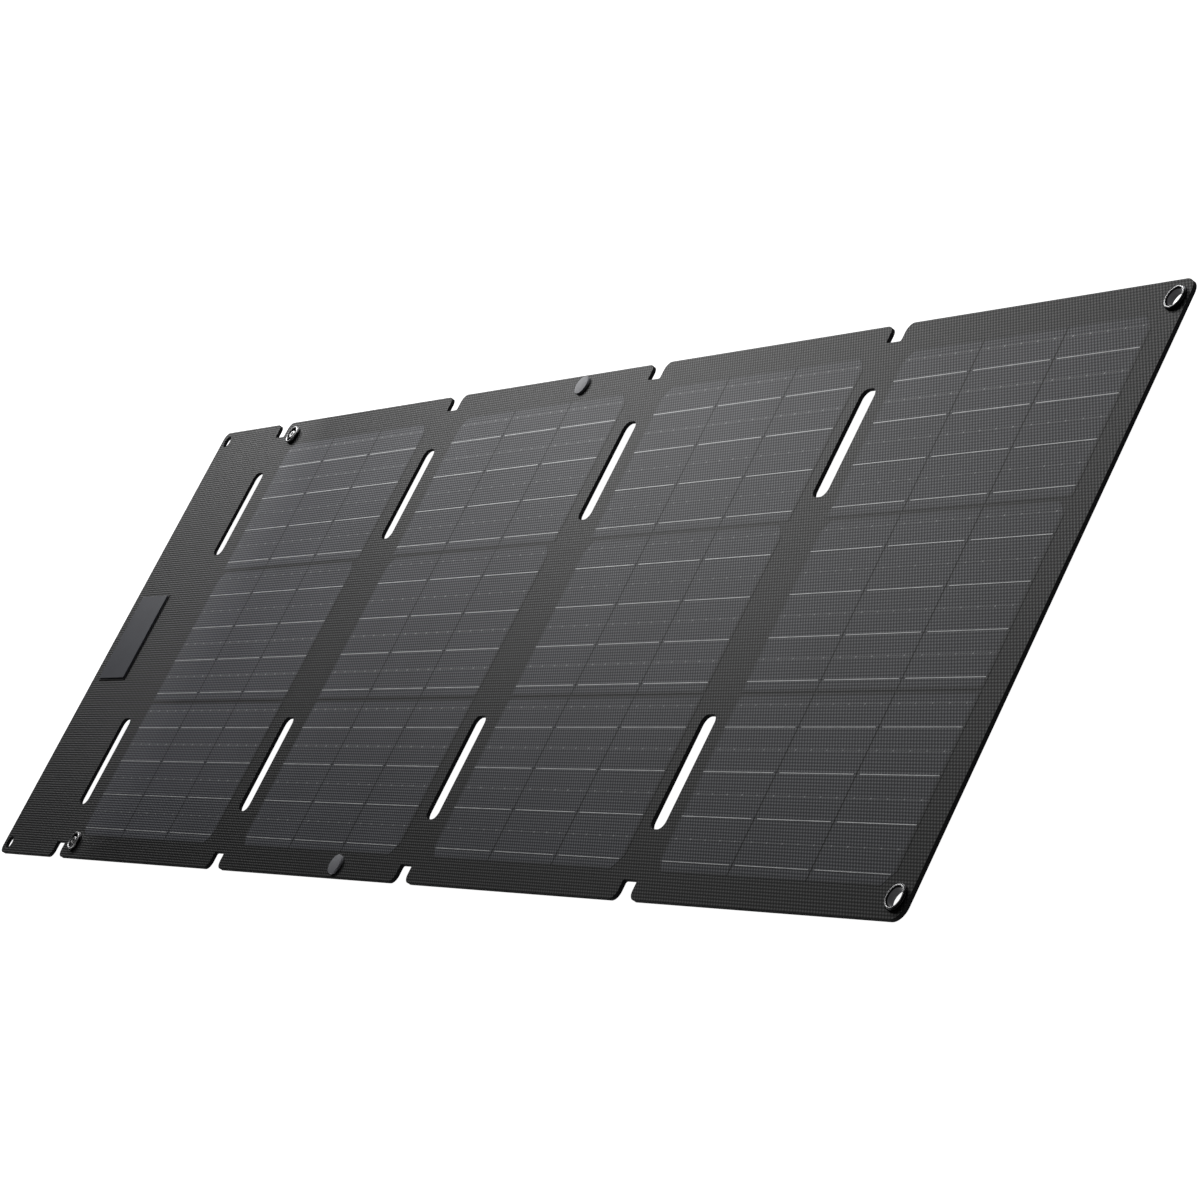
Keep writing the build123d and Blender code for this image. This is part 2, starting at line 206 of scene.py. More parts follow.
def cut_from(layer, x_low, x_high, creases=()):
    """The stretch of a layer between two places, closed at both cuts, scored at the creases."""
    stretch = layer.copy()
    for x, keep_right in ((x_low, True), (x_high, False)):
        bmesh.ops.bisect_plane(
            stretch, geom=stretch.verts[:] + stretch.edges[:] + stretch.faces[:], dist=1e-7,
            plane_co=(x, 0, 0), plane_no=(1, 0, 0), clear_inner=keep_right, clear_outer=not keep_right,
        )
    open_edges = [e for e in stretch.edges if e.is_boundary]
    bmesh.ops.holes_fill(stretch, edges=open_edges, sides=0)
    for x in creases:
        bmesh.ops.bisect_plane(
            stretch, geom=stretch.verts[:] + stretch.edges[:] + stretch.faces[:], dist=1e-7,
            plane_co=(x, 0, 0), plane_no=(1, 0, 0),
        )
    bmesh.ops.recalc_face_normals(stretch, faces=stretch.faces)
    return stretch


# ======================================================================
# Front film. A clear fluoropolymer film, hot-pressed over everything on a
# dimpled roll: low staggered points 2.15 mm apart in rows 1.6 mm apart,
# over a charcoal backing sheet. It runs over leaves and folds unbroken.
# ======================================================================
def node_group(name, inputs, outputs):
    """An empty shader node group; inputs and outputs are (name, kind, value)."""
    group = bpy.data.node_groups.new(name, "ShaderNodeTree")
    for label, kind, value in inputs:
        socket = group.interface.new_socket(label, in_out="INPUT", socket_type=kind)
        if value is not None:
            socket.default_value = value
    for label, kind in outputs:
        group.interface.new_socket(label, in_out="OUTPUT", socket_type=kind)
    return group, group.nodes.new("NodeGroupInput"), group.nodes.new("NodeGroupOutput")


def add_node(tree, kind, links=None, **settings):
    """A node with its settings made and its inputs linked to sockets or set to values."""
    node = tree.nodes.new(kind)
    for key, value in settings.items():
        setattr(node, key, value)
    for key, value in (links or {}).items():
        if isinstance(value, bpy.types.NodeSocket):
            tree.links.new(value, node.inputs[key])
        else:
            node.inputs[key].default_value = value
    return node


def math_node(tree, operation, a, b=0.0, clamp=False):
    node = add_node(tree, "ShaderNodeMath", {0: a, 1: b}, operation=operation)
    node.use_clamp = clamp
    return node.outputs[0]


def build_emboss_group():
    """Points pressed into a film: rows crossed by slanting rows, sharpened into low domes."""
    group, given, out = node_group(
        "pressed_points",
        [("Place", "NodeSocketVector", None), ("Across", "NodeSocketFloat", 0.00215),
         ("Rows", "NodeSocketFloat", 0.0016)],
        [("Height", "NodeSocketFloat"), ("Tips", "NodeSocketFloat")],
    )
    split = add_node(group, "ShaderNodeSeparateXYZ", {0: given.outputs["Place"]})
    across = math_node(group, "DIVIDE", split.outputs[0], given.outputs["Across"])
    rows = math_node(group, "DIVIDE", split.outputs[1], given.outputs["Rows"])
    half_rows = math_node(group, "MULTIPLY", rows, 0.5)
    waves = []
    for phase, share in (
        (math_node(group, "ADD", across, half_rows), 1.0),
        (math_node(group, "SUBTRACT", across, half_rows), 0.25),
        (rows, 0.75),
    ):
        wave = math_node(group, "COSINE", math_node(group, "MULTIPLY", phase, 2 * pi))
        waves.append(math_node(group, "MULTIPLY", wave, share))
    total = math_node(group, "ADD", math_node(group, "ADD", waves[0], waves[1]), waves[2])
    dome = math_node(group, "DIVIDE", math_node(group, "ADD", total, 1.7), 3.7, clamp=True)
    sharp = math_node(group, "POWER", dome, 1.6)
    group.links.new(dome, out.inputs["Height"])
    group.links.new(sharp, out.inputs["Tips"])
    return group


def build_grain_group():
    """Slow mottling and fine grain for any surface, both centred on a half."""
    group, given, out = node_group(
        "grain",
        [("Place", "NodeSocketVector", None), ("Fine Scale", "NodeSocketFloat", 1800.0),
         ("Slow Scale", "NodeSocketFloat", 14.0)],
        [("Fine", "NodeSocketFloat"), ("Slow", "NodeSocketFloat")],
    )
    for name, scale, detail in (("Fine", "Fine Scale", 3.0), ("Slow", "Slow Scale", 4.0)):
        noise = add_node(
            group, "ShaderNodeTexNoise",
            {"Vector": given.outputs["Place"], "Scale": given.outputs[scale], "Detail": detail},
        )
        group.links.new(noise.outputs["Fac"], out.inputs[name])
    return group


pressed_points = build_emboss_group()
grain = build_grain_group()


def new_material(name):
    """A material with its node tree, its shader and its output, ready to be wired."""
    material = bpy.data.materials.new(name)
    material.use_nodes = True
    tree = material.node_tree
    tree.nodes.clear()
    shader = tree.nodes.new("ShaderNodeBsdfPrincipled")
    output = tree.nodes.new("ShaderNodeOutputMaterial")
    tree.links.new(shader.outputs[0], output.inputs[0])
    return material, tree, shader


def place_of(tree, from_attribute):
    if from_attribute:
        return add_node(tree, "ShaderNodeAttribute", attribute_name="flat_place").outputs["Vector"]
    return add_node(tree, "ShaderNodeTexCoord").outputs["Object"]


def mix_colour(tree, factor, dark, light):
    node = add_node(tree, "ShaderNodeMix", data_type="RGBA")
    for socket, value in ((node.inputs["Factor"], factor), (node.inputs[6], dark), (node.inputs[7], light)):
        if isinstance(value, bpy.types.NodeSocket):
            tree.links.new(value, socket)
        else:
            socket.default_value = value if isinstance(value, float) else (*value, 1)
    return node.outputs[2]


def span(tree, value, low, high, from_low=0.0, from_high=1.0):
    """Maps a 0 to 1 value on to another range."""
    links = {0: value, 1: from_low, 2: from_high, 3: low, 4: high}
    return add_node(tree, "ShaderNodeMapRange", links).outputs[0]


def bump(tree, height, distance, strength=1.0, normal=None):
    links = {"Height": height, "Distance": distance, "Strength": strength}
    if normal is not None:
        links["Normal"] = normal
    return add_node(tree, "ShaderNodeBump", links).outputs["Normal"]


# the emboss is partly painted: its valleys take a painted shade and its tips a painted highlight, over the
# film and the cells alike
film_shaded_valley, film_lit_tip = (0.008, 0.0082, 0.0088), (0.060, 0.061, 0.064)
cell_shaded_valley, cell_lit_tip = (0.031, 0.033, 0.042), (0.203, 0.209, 0.240)
# the sheet under the flap's film is paler than the one under the leaves
paler_until, darker_from = -370.0 * mm, -330.0 * mm
deepest_emboss, shallow_from = 0.22 * mm, 150.0 * mm
emboss_depth = 0.07 * mm


def film_material(name, shows_cells):
    """The pressed film; where cells lie under it their own attribute lightens it."""
    material, tree, shader = new_material(name)
    place = place_of(tree, True)
    points = add_node(tree, "ShaderNodeGroup", node_tree=pressed_points)
    tree.links.new(place, points.inputs["Place"])
    mottle = add_node(tree, "ShaderNodeGroup", node_tree=grain)
    tree.links.new(place, mottle.inputs["Place"])
    tips = points.outputs["Tips"]
    along = add_node(tree, "ShaderNodeSeparateXYZ", {0: place}).outputs[0]
    backing = span(tree, along, 1.04, 0.56, paler_until, darker_from)
    # painted shade in the points' valleys, painted highlight on their tips
    film_colour = mix_colour(tree, tips, film_shaded_valley, film_lit_tip)
    backed = add_node(tree, "ShaderNodeVectorMath", {0: film_colour, "Scale": backing}, operation="SCALE")
    colour = backed.outputs[0]
    if shows_cells:
        under = add_node(tree, "ShaderNodeAttribute", attribute_name="under_film").outputs["Fac"]
        colour = mix_colour(tree, under, colour, mix_colour(tree, tips, cell_shaded_valley, cell_lit_tip))
    shade = span(tree, mottle.outputs["Slow"], 0.86, 1.12, 0.3, 0.7)
    tint = add_node(tree, "ShaderNodeVectorMath", {0: colour, "Scale": shade}, operation="SCALE")
    tree.links.new(tint.outputs[0], shader.inputs["Base Color"])
    rough = span(tree, mottle.outputs["Fine"], 0.40, 0.52)
    tree.links.new(rough, shader.inputs["Roughness"])
    fine = bump(tree, mottle.outputs["Fine"], 0.012 * mm)
    depth = span(tree, along, deepest_emboss, emboss_depth, paler_until, shallow_from)
    tree.links.new(bump(tree, points.outputs["Height"], depth, normal=fine), shader.inputs["Normal"])
    gloss = span(tree, tips, 0.12, 0.85)
    tree.links.new(math_node(tree, "MULTIPLY", gloss, backing), shader.inputs["Specular IOR Level"])
    return material


def cut_edge_material(name):
    """The die-cut edge, sealed with matt black lacquer that lies in fine drag lines."""
    material, tree, shader = new_material(name)
    drag = add_node(tree, "ShaderNodeMapping", {0: place_of(tree, True), 3: (1.0, 1.0, 6.0)})
    lines = add_node(tree, "ShaderNodeTexNoise", {"Vector": drag.outputs[0], "Scale": 2400.0, "Detail": 3.0})
    colour = mix_colour(tree, lines.outputs["Fac"], (0.0025, 0.0025, 0.003), (0.006, 0.006, 0.0065))
    tree.links.new(colour, shader.inputs["Base Color"])
    tree.links.new(span(tree, lines.outputs["Fac"], 0.75, 0.95), shader.inputs["Roughness"])
    tree.links.new(bump(tree, lines.outputs["Fac"], 0.02 * mm), shader.inputs["Normal"])
    shader.inputs["Specular IOR Level"].default_value = 0.06
    return material


film_finish = film_material("charcoal_film", False)
cut_edge_finish = cut_edge_material("black_cut_edge")
film_edge = 0.12 * mm
film_layer = laminate_layer([
    (0, z_film), (0, z_front - film_edge),
    (0.3 * film_edge, z_front - 0.3 * film_edge), (film_edge, z_front),
])

# The laminate bends within a short reach to both sides of each fold line, so
# the rigid stretches stop that far short and the bending ones take over.
reach = 2.5 * mm
creases_each_side = 5
crease_numbers = range(1 - creases_each_side, creases_each_side)
rigid_stretches = {"flap": (panel_low - mm, fold_low["a"] - reach)}
for number, fold in enumerate(fold_names, start=1):
    following = "bcd"[number - 1] if number < 4 else None
    stop = fold_low[following] - reach if following else panel_high + mm
    rigid_stretches[f"leaf_{number}"] = (fold_high[fold] + reach, stop)
bodies_of_fold = {
    "a": ("flap", "leaf_1"), "b": ("leaf_1", "leaf_2"),
    "c": ("leaf_2", "leaf_3"), "d": ("leaf_3", "leaf_4"),
}


def seal_edges(piece):
    """The upright faces of the cut carry the black edge."""
    piece.data.materials.append(cut_edge_finish)
    for face in piece.data.polygons:
        if abs(face.normal.z) < 0.5:
            face.material_index = 1


def lay_out(layer, name, material, node_end, fold_end):
    """Cuts a layer into its rigid and bending stretches; each rigid one is fixed to its body, the bending
    ones are left unattached.
    """
    for body, (low, high) in rigid_stretches.items():
        piece = piece_from(cut_from(layer, low, high), f"{name}_{body}", material)
        seal_edges(piece)
        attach(piece, body)
        if node_end:
            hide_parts(f"{body}_{node_end}")
    for fold, (left, right) in bodies_of_fold.items():
        halves = (
            ("left", fold_low[fold], left, f"fold_{fold}", fold_low[fold] - reach, fold_middle[fold]),
            ("right", fold_high[fold], f"fold_{fold}", right, fold_middle[fold], fold_high[fold] + reach),
        )
        for half, hinge, first, second, low, high in halves:
            steps = [hinge + reach * k / creases_each_side for k in crease_numbers]
            inside = [x for x in steps if low + 1e-5 < x < high - 1e-5]
            stretch = cut_from(layer, low, high, inside)
            piece = piece_from(stretch, f"{name}_fold_{fold}_{half}", material)
            seal_edges(piece)
            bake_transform(piece)
            if fold_end:
                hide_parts(f"fold_{fold}_{fold_end}")


lay_out(film_layer, "film", film_finish, "front_film", "front")

# ======================================================================
# Stiffener core. Black fibre board 1.3 mm thick, a separate piece in each
# leaf and in the flap, with thin felt in its place across each fold, drawn as the
# same board; it shows only as the dark middle of the cut edge.
# ======================================================================
def core_material(name):
    material, tree, shader = new_material(name)
    place = place_of(tree, True)
    fibres = add_node(tree, "ShaderNodeTexNoise", {"Scale": 2600.0, "Detail": 4.0, "Distortion": 0.6})
    stretched = add_node(tree, "ShaderNodeMapping", {0: place, 3: (1.0, 1.0, 5.0)})
    tree.links.new(stretched.outputs[0], fibres.inputs["Vector"])
    colour = mix_colour(tree, fibres.outputs["Fac"], (0.003, 0.003, 0.0035), (0.008, 0.008, 0.0085))
    tree.links.new(colour, shader.inputs["Base Color"])
    tree.links.new(span(tree, fibres.outputs["Fac"], 0.65, 0.9), shader.inputs["Roughness"])
    tree.links.new(bump(tree, fibres.outputs["Fac"], 0.05 * mm), shader.inputs["Normal"])
    shader.inputs["Specular IOR Level"].default_value = 0.08
    return material


core_finish = core_material("black_fibre_board")
core_inset = 0.06 * mm
core_layer = laminate_layer([(core_inset, z_board), (core_inset, z_film)])
lay_out(core_layer, "core", core_finish, "board", None)

# ======================================================================
# Back fabric. Black polyester in a plain weave, coated on its inner side
# and glued over the whole back, so it also carries the folds.
# ======================================================================
def build_weave_group():
    """A plain weave: warp and weft cross as rounded threads, over and under in turn."""
    group, given, out = node_group(
        "plain_weave",
        [("Place", "NodeSocketVector", None), ("Thread", "NodeSocketFloat", 0.0007)],
        [("Height", "NodeSocketFloat"), ("Over", "NodeSocketFloat")],
    )
    split = add_node(group, "ShaderNodeSeparateXYZ", {0: given.outputs["Place"]})
    turns = [math_node(group, "DIVIDE", split.outputs[k], given.outputs["Thread"]) for k in (0, 1)]
    crowns = []
    for turn in turns:
        wave = math_node(group, "SINE", math_node(group, "MULTIPLY", turn, pi))
        crowns.append(math_node(group, "ABSOLUTE", wave))
    cells = [math_node(group, "FLOOR", turn) for turn in turns]
    parity = math_node(group, "PINGPONG", math_node(group, "ADD", cells[0], cells[1]), 1.0)
    warp_over = math_node(group, "MULTIPLY", crowns[0], parity)
    weft_over = math_node(group, "MULTIPLY", crowns[1], math_node(group, "SUBTRACT", 1.0, parity))
    group.links.new(math_node(group, "ADD", warp_over, weft_over), out.inputs["Height"])
    group.links.new(parity, out.inputs["Over"])
    return group


plain_weave = build_weave_group()


def fabric_material(name):
    material, tree, shader = new_material(name)
    place = place_of(tree, True)
    weave = add_node(tree, "ShaderNodeGroup", node_tree=plain_weave)
    tree.links.new(place, weave.inputs["Place"])
    mottle = add_node(tree, "ShaderNodeGroup", node_tree=grain)
    tree.links.new(place, mottle.inputs["Place"])
    # painted shade in the weave's hollows and a painted highlight on its crowns, set by thread height
    shaded_threads = mix_colour(tree, weave.outputs["Height"], (0.010, 0.010, 0.011), (0.050, 0.050, 0.053))
    shade = span(tree, mottle.outputs["Slow"], 0.8, 1.2, 0.3, 0.7)
    tint = add_node(tree, "ShaderNodeVectorMath", {0: shaded_threads, "Scale": shade}, operation="SCALE")
    tree.links.new(tint.outputs[0], shader.inputs["Base Color"])
    tree.links.new(span(tree, weave.outputs["Over"], 0.62, 0.72), shader.inputs["Roughness"])
    yarn = bump(tree, mottle.outputs["Fine"], 0.02 * mm)
    tree.links.new(bump(tree, weave.outputs["Height"], 0.12 * mm, normal=yarn), shader.inputs["Normal"])
    shader.inputs["Specular IOR Level"].default_value = 0.3
    shader.inputs["Sheen Weight"].default_value = 0.15
    return material


fabric_finish = fabric_material("black_woven_back")
fabric_edge = 0.12 * mm
fabric_layer = laminate_layer([(fabric_edge, z_back), (0, z_back + fabric_edge), (0, z_board)])
lay_out(fabric_layer, "fabric", fabric_finish, "back_skin", "back")
for layer in (film_layer, core_layer, fabric_layer):
    layer.free()

# ======================================================================
# Cells. Each leaf holds three rows under the film, and a row is one half
# wafer of silicon cut across into three. They show as a lighter field, soft
# at the outer edges, with thin dark gaps between the columns.
# ======================================================================
cell_rows, cell_columns = 3, 3
column_gap, row_gap = 1.0 * mm, 0.9 * mm
wafer_chamfer = 7.5 * mm
# soft_row fades every row's long edges into the film's colour, a painted soft band of shade along the gaps
# between rows
soft_side, soft_row = 3.6 * mm, 1.9 * mm
film_over_cell = 0.06 * mm


def cell_box(number, column, row):
    """The low and high corner of a sub-cell, rows counted from the far edge."""
    low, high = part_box(f"leaf_{number}_cells")
    length = (high.x - low.x - (cell_columns - 1) * column_gap) / cell_columns
    height = (high.y - low.y - (cell_rows - 1) * row_gap) / cell_rows
    x = low.x + column * (length + column_gap)
    y = high.y - row * (height + row_gap)
    return Vector((x, y - height)), Vector((x + length, y))


def cell_outline(number, column, row):
    """A sub-cell's corners; those that were the wafer's own are cut off."""
    low, high = cell_box(number, column, row)
    side = {0: -1, cell_columns - 1: 1}.get(column, 0)
    end = -1 if row == cell_rows - 1 else 1
    points = []
    for a, b in ((-1, -1), (1, -1), (1, 1), (-1, 1)):
        corner = Vector((high.x if a > 0 else low.x, high.y if b > 0 else low.y))
        if (a, b) == (side, end):
            along_x = corner - Vector((a * wafer_chamfer, 0))
            along_y = corner - Vector((0, b * wafer_chamfer))
            points += (along_y, along_x) if a * b > 0 else (along_x, along_y)
        else:
            points.append(corner)
    return points


def cut_lines(work, lines):
    for axis, value in lines:
        normal = (1, 0, 0) if axis == 0 else (0, 1, 0)
        bmesh.ops.bisect_plane(
            work, geom=work.verts[:] + work.edges[:] + work.faces[:], dist=1e-7,
            plane_co=tuple(value * n for n in normal), plane_no=normal,
        )


def fade_from(distance, width):
    return max(0.0, min(1.0, distance / width))


cell_finish = film_material("film_over_cells", True)
for number in range(1, 5):
    block_low, block_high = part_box(f"leaf_{number}_cells")
    cells = bmesh.new()
    for column in range(cell_columns):
        for row in range(cell_rows):
            one = bmesh.new()
            outline = cell_outline(number, column, row)
            corners = [one.verts.new((p.x, p.y, z_front + film_over_cell)) for p in outline]
            one.faces.new(corners)
            low, high = cell_box(number, column, row)
            lines = [(1, low.y + soft_row), (1, high.y - soft_row)]
            if column == 0:
                lines.append((0, low.x + soft_side))
            if column == cell_columns - 1:
                lines.append((0, high.x - soft_side))
            cut_lines(one, lines)
            part = bpy.data.meshes.new("one_cell")
            one.to_mesh(part)
            one.free()
            cells.from_mesh(part)
            bpy.data.meshes.remove(part)
    piece = piece_from(cells, f"cells_leaf_{number}", cell_finish)
    piece.data.shade_flat()
    under = piece.data.attributes.new("under_film", "FLOAT", "POINT")
    row_height = cell_box(number, 0, 0)[1].y - cell_box(number, 0, 0)[0].y
    for vertex, value in zip(piece.data.vertices, under.data):
        sides = min(vertex.co.x - block_low.x, block_high.x - vertex.co.x)
        down = (block_high.y - vertex.co.y) % (row_height + row_gap)
        ends = min(down, row_height - down)
        ends = 0.0 if down > row_height - 1e-5 or down < 1e-5 else ends
        # the fade at the row ends is painted shade along the row gaps
        value.value = fade_from(sides + 1e-6, soft_side) * fade_from(ends + 1e-6, soft_row)
    film = piece.modifiers.new("film_thickness", "SOLIDIFY")
    film.thickness, film.offset = film_over_cell, -1
    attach(piece, f"leaf_{number}")
    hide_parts(f"leaf_{number}_cells")

# ======================================================================
# Ribbons. Flat tinned copper, soldered across the cells four to a row and cut
# short at every column gap; only the bright crown of each shows in the film.
# Halfway between them runs a fine printed busbar with solder pads on it.
# ======================================================================
ribbon_pitch, first_ribbon = 22.75 * mm, 17.06 * mm
ribbon_width, ribbon_height = 0.45 * mm, 0.07 * mm
ribbon_gap, ribbon_outer_gap, ribbon_corner_gap = 1.8 * mm, 1.4 * mm, 3.2 * mm
ribbons_per_row = 4
busbar_width, pad_length, pad_width = 0.3 * mm, 0.9 * mm, 0.8 * mm
pads_per_cell = 5
busbar_height, pad_height = 0.03 * mm, 0.05 * mm
cell_face = z_front + film_over_cell


def tinned_material(name, dark, light, roughness, metallic):
    """Tin seen through the pressed film, so the same points break up its shine."""
    material, tree, shader = new_material(name)
    place = place_of(tree, True)
    points = add_node(tree, "ShaderNodeGroup", node_tree=pressed_points)
    tree.links.new(place, points.inputs["Place"])
    mottle = add_node(tree, "ShaderNodeGroup", node_tree=grain)
    tree.links.new(place, mottle.inputs["Place"])
    mottle.inputs["Slow Scale"].default_value = 160.0
    colour = mix_colour(tree, span(tree, mottle.outputs["Slow"], 0.0, 1.0, 0.3, 0.7), dark, light)
    tree.links.new(colour, shader.inputs["Base Color"])
    rough = span(tree, mottle.outputs["Fine"], roughness - 0.06, roughness + 0.06)
    tree.links.new(rough, shader.inputs["Roughness"])
    tree.links.new(bump(tree, points.outputs["Height"], 0.5 * emboss_depth), shader.inputs["Normal"])
    shader.inputs["Metallic"].default_value = metallic
    return material


ribbon_finish = tinned_material("tin_under_film", (0.62, 0.63, 0.64), (0.85, 0.86, 0.87), 0.45, 0.3)
busbar_finish = tinned_material(
    "printed_silver_under_film", (0.17, 0.175, 0.185), (0.25, 0.255, 0.265), 0.5, 0.1
)
pad_finish = tinned_material("solder_pads_under_film", (0.40, 0.41, 0.43), (0.54, 0.55, 0.57), 0.5, 0.1)


def add_strip(work, x_low, x_high, y, width, z):
    near, far = y - width / 2, y + width / 2
    corners = ((x_low, near), (x_high, near), (x_high, far), (x_low, far))
    work.faces.new([work.verts.new((a, b, z)) for a, b in corners])


for number in range(1, 5):
    ribbons, busbars = bmesh.new(), bmesh.new()
    top = cell_face + ribbon_height
    for column in range(cell_columns):
        for row in range(cell_rows):
            low, high = cell_box(number, column, row)
            for line in range(ribbons_per_row):
                y = high.y - first_ribbon - line * ribbon_pitch
                at_cut_corner = row == cell_rows - 1 and line == ribbons_per_row - 1
                outer = ribbon_corner_gap if at_cut_corner else ribbon_outer_gap
                left = low.x + (outer if column == 0 else ribbon_gap)
                right = high.x - (outer if column == cell_columns - 1 else ribbon_gap)
                add_strip(ribbons, left, right, y, ribbon_width, top)
                between = y + ribbon_pitch / 2
                at_wafer_corner = line == 0 and row < cell_rows - 1
                outer = ribbon_corner_gap if at_wafer_corner else ribbon_outer_gap
                left = low.x + (outer if column == 0 else 0)
                right = high.x - (outer if column == cell_columns - 1 else 0)
                add_strip(busbars, left, right, between, busbar_width, cell_face + busbar_height)
                for pad in range(pads_per_cell):
                    x = low.x + (high.x - low.x) * (pad + 0.5) / pads_per_cell
                    add_strip(
                        busbars, x - pad_length / 2, x + pad_length / 2, between,
                        pad_width, cell_face + pad_height,
                    )
    for work, name, material, height in (
        (ribbons, "ribbons", ribbon_finish, ribbon_height),
        (busbars, "busbars", busbar_finish, busbar_height),
    ):
        piece = piece_from(work, f"{name}_leaf_{number}", material)
        piece.data.shade_flat()
        if name == "busbars":
            piece.data.materials.append(pad_finish)
            for face in piece.data.polygons:
                face.material_index = int(face.center.z > cell_face + (busbar_height + pad_height) / 2)
        solid = piece.modifiers.new("thickness", "SOLIDIFY")
        solid.thickness, solid.offset = height, -1
        rounded = piece.modifiers.new("rolled_edges", "BEVEL")
        rounded.width, rounded.segments = 0.3 * height, 1
        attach(piece, f"leaf_{number}")
        if name == "ribbons":
            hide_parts(f"leaf_{number}_ribbons")

# ======================================================================
# Leads across the folds. Flat tinned braid, laid in pairs between the two
# fabric layers of a fold to join the cells of one leaf to the next.
# ======================================================================
def bare_metal(name, dark, light, roughness):
    """Plain or plated metal with fine scratches and duller patches."""
    material, tree, shader = new_material(name)
    place = place_of(tree, False)
    mottle = add_node(tree, "ShaderNodeGroup", node_tree=grain)
    tree.links.new(place, mottle.inputs["Place"])
    mottle.inputs["Fine Scale"].default_value = 900.0
    mottle.inputs["Slow Scale"].default_value = 220.0
    colour = mix_colour(tree, span(tree, mottle.outputs["Slow"], 0.0, 1.0, 0.3, 0.7), dark, light)
    tree.links.new(colour, shader.inputs["Base Color"])
    rough = span(tree, mottle.outputs["Fine"], roughness - 0.05, roughness + 0.08)
    tree.links.new(rough, shader.inputs["Roughness"])
    tree.links.new(bump(tree, mottle.outputs["Fine"], 0.01 * mm), shader.inputs["Normal"])
    shader.inputs["Metallic"].default_value = 1.0
    return material


lead_finish = bare_metal("tinned_braid", (0.45, 0.45, 0.44), (0.62, 0.62, 0.60), 0.35)


def refinish(node, material):
    """Gives a carried-over CAD node its finish."""
    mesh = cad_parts[node].data
    if not mesh.materials:
        mesh.materials.append(material)
    for index in range(len(mesh.materials)):
        mesh.materials[index] = material


for fold in fold_names:
    refinish(f"fold_{fold}_leads", lead_finish)

# ======================================================================
# Press studs of leaf 1. A rolled rim round a hollow post, turned and pressed
# from brass and plated black nickel, riveted through to a washer behind.
# ======================================================================
# between these two heights the nickel's colour turns to a painted highlight on the lips
highlight_from, highlight_full = z_front + 1.2 * mm, z_front + 1.48 * mm


def nickel_material(name):
    """Black nickel plating; its colour turns bright where the lips stand proud, a painted highlight."""
    material, tree, shader = new_material(name)
    place = place_of(tree, True)
    mottle = add_node(tree, "ShaderNodeGroup", node_tree=grain)
    tree.links.new(place, mottle.inputs["Place"])
    mottle.inputs["Slow Scale"].default_value = 300.0
    height = add_node(tree, "ShaderNodeSeparateXYZ", {0: place}).outputs[2]
    lip_highlight = add_node(tree, "ShaderNodeMapRange", {0: height, 1: highlight_from, 2: highlight_full}).outputs[0]
    plating = mix_colour(tree, mottle.outputs["Slow"], (0.018, 0.018, 0.019), (0.055, 0.055, 0.058))
    # painted highlight: the lips' tops are coloured bright nickel
    colour = mix_colour(tree, lip_highlight, plating, (0.62, 0.62, 0.625))
    tree.links.new(colour, shader.inputs["Base Color"])
    polish = span(tree, mottle.outputs["Fine"], 0.16, 0.28)
    rough = math_node(tree, "ADD", polish, math_node(tree, "MULTIPLY", lip_highlight, 0.2))
    tree.links.new(rough, shader.inputs["Roughness"])
    tree.links.new(bump(tree, mottle.outputs["Fine"], 0.006 * mm), shader.inputs["Normal"])
    shader.inputs["Metallic"].default_value = 1.0
    return material


nickel = nickel_material("black_nickel")
turn_steps = 56
# heights from the film's face, in mm: the back of the laminate, and of a washer on it
back = (z_back - z_front) / mm
behind = back - 0.6


def turned(profile, closed):
    """A turned part about its own axis; the profile is (radius, z) points from the top down."""
    mesh = bpy.data.meshes.new("turned_part")
    count = len(profile)
    edges = [(i, (i + 1) % count) for i in range(count if closed else count - 1)]
    mesh.from_pydata([(p.x, 0, p.y) for p in profile], edges, [])
    part = bpy.data.objects.new("turned_part", mesh)
    bpy.context.scene.collection.objects.link(part)
    screw = part.modifiers.new("turn", "SCREW")
    screw.steps = screw.render_steps = turn_steps
    screw.use_merge_vertices, screw.merge_threshold = True, 1e-6
    graph = bpy.context.evaluated_depsgraph_get()
    result = bpy.data.meshes.new_from_object(part.evaluated_get(graph))
    bpy.data.objects.remove(part)
    work = bmesh.new()
    work.from_mesh(result)
    bpy.data.meshes.remove(result)
    bmesh.ops.remove_doubles(work, verts=work.verts, dist=1e-6)
    bmesh.ops.recalc_face_normals(work, faces=work.faces)
    return work


def fit_turned(name, node, profile, material, body, closed=False, steps=5, smooth_below=35):
    """A pair of turned parts, one at each long edge, where the CAD node's own pair stands."""
    low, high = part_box(node)
    radius = (high.x - low.x) / 2
    path = round_corners([(r * mm, z_front + z * mm, b * mm) for r, z, b in profile], closed, steps)
    work = turned(path, closed)
    both = bmesh.new()
    part = bpy.data.meshes.new("one_part")
    work.to_mesh(part)
    work.free()
    for side in (1, -1):
        copied = part.copy()
        copied.transform(Matrix.Translation(((low.x + high.x) / 2, side * (high.y - radius), 0)))
        both.from_mesh(copied)
        bpy.data.meshes.remove(copied)
    bpy.data.meshes.remove(part)
    piece = piece_from(both, name, material, smooth_below)
    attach(piece, body)
    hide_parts(node)
    return piece


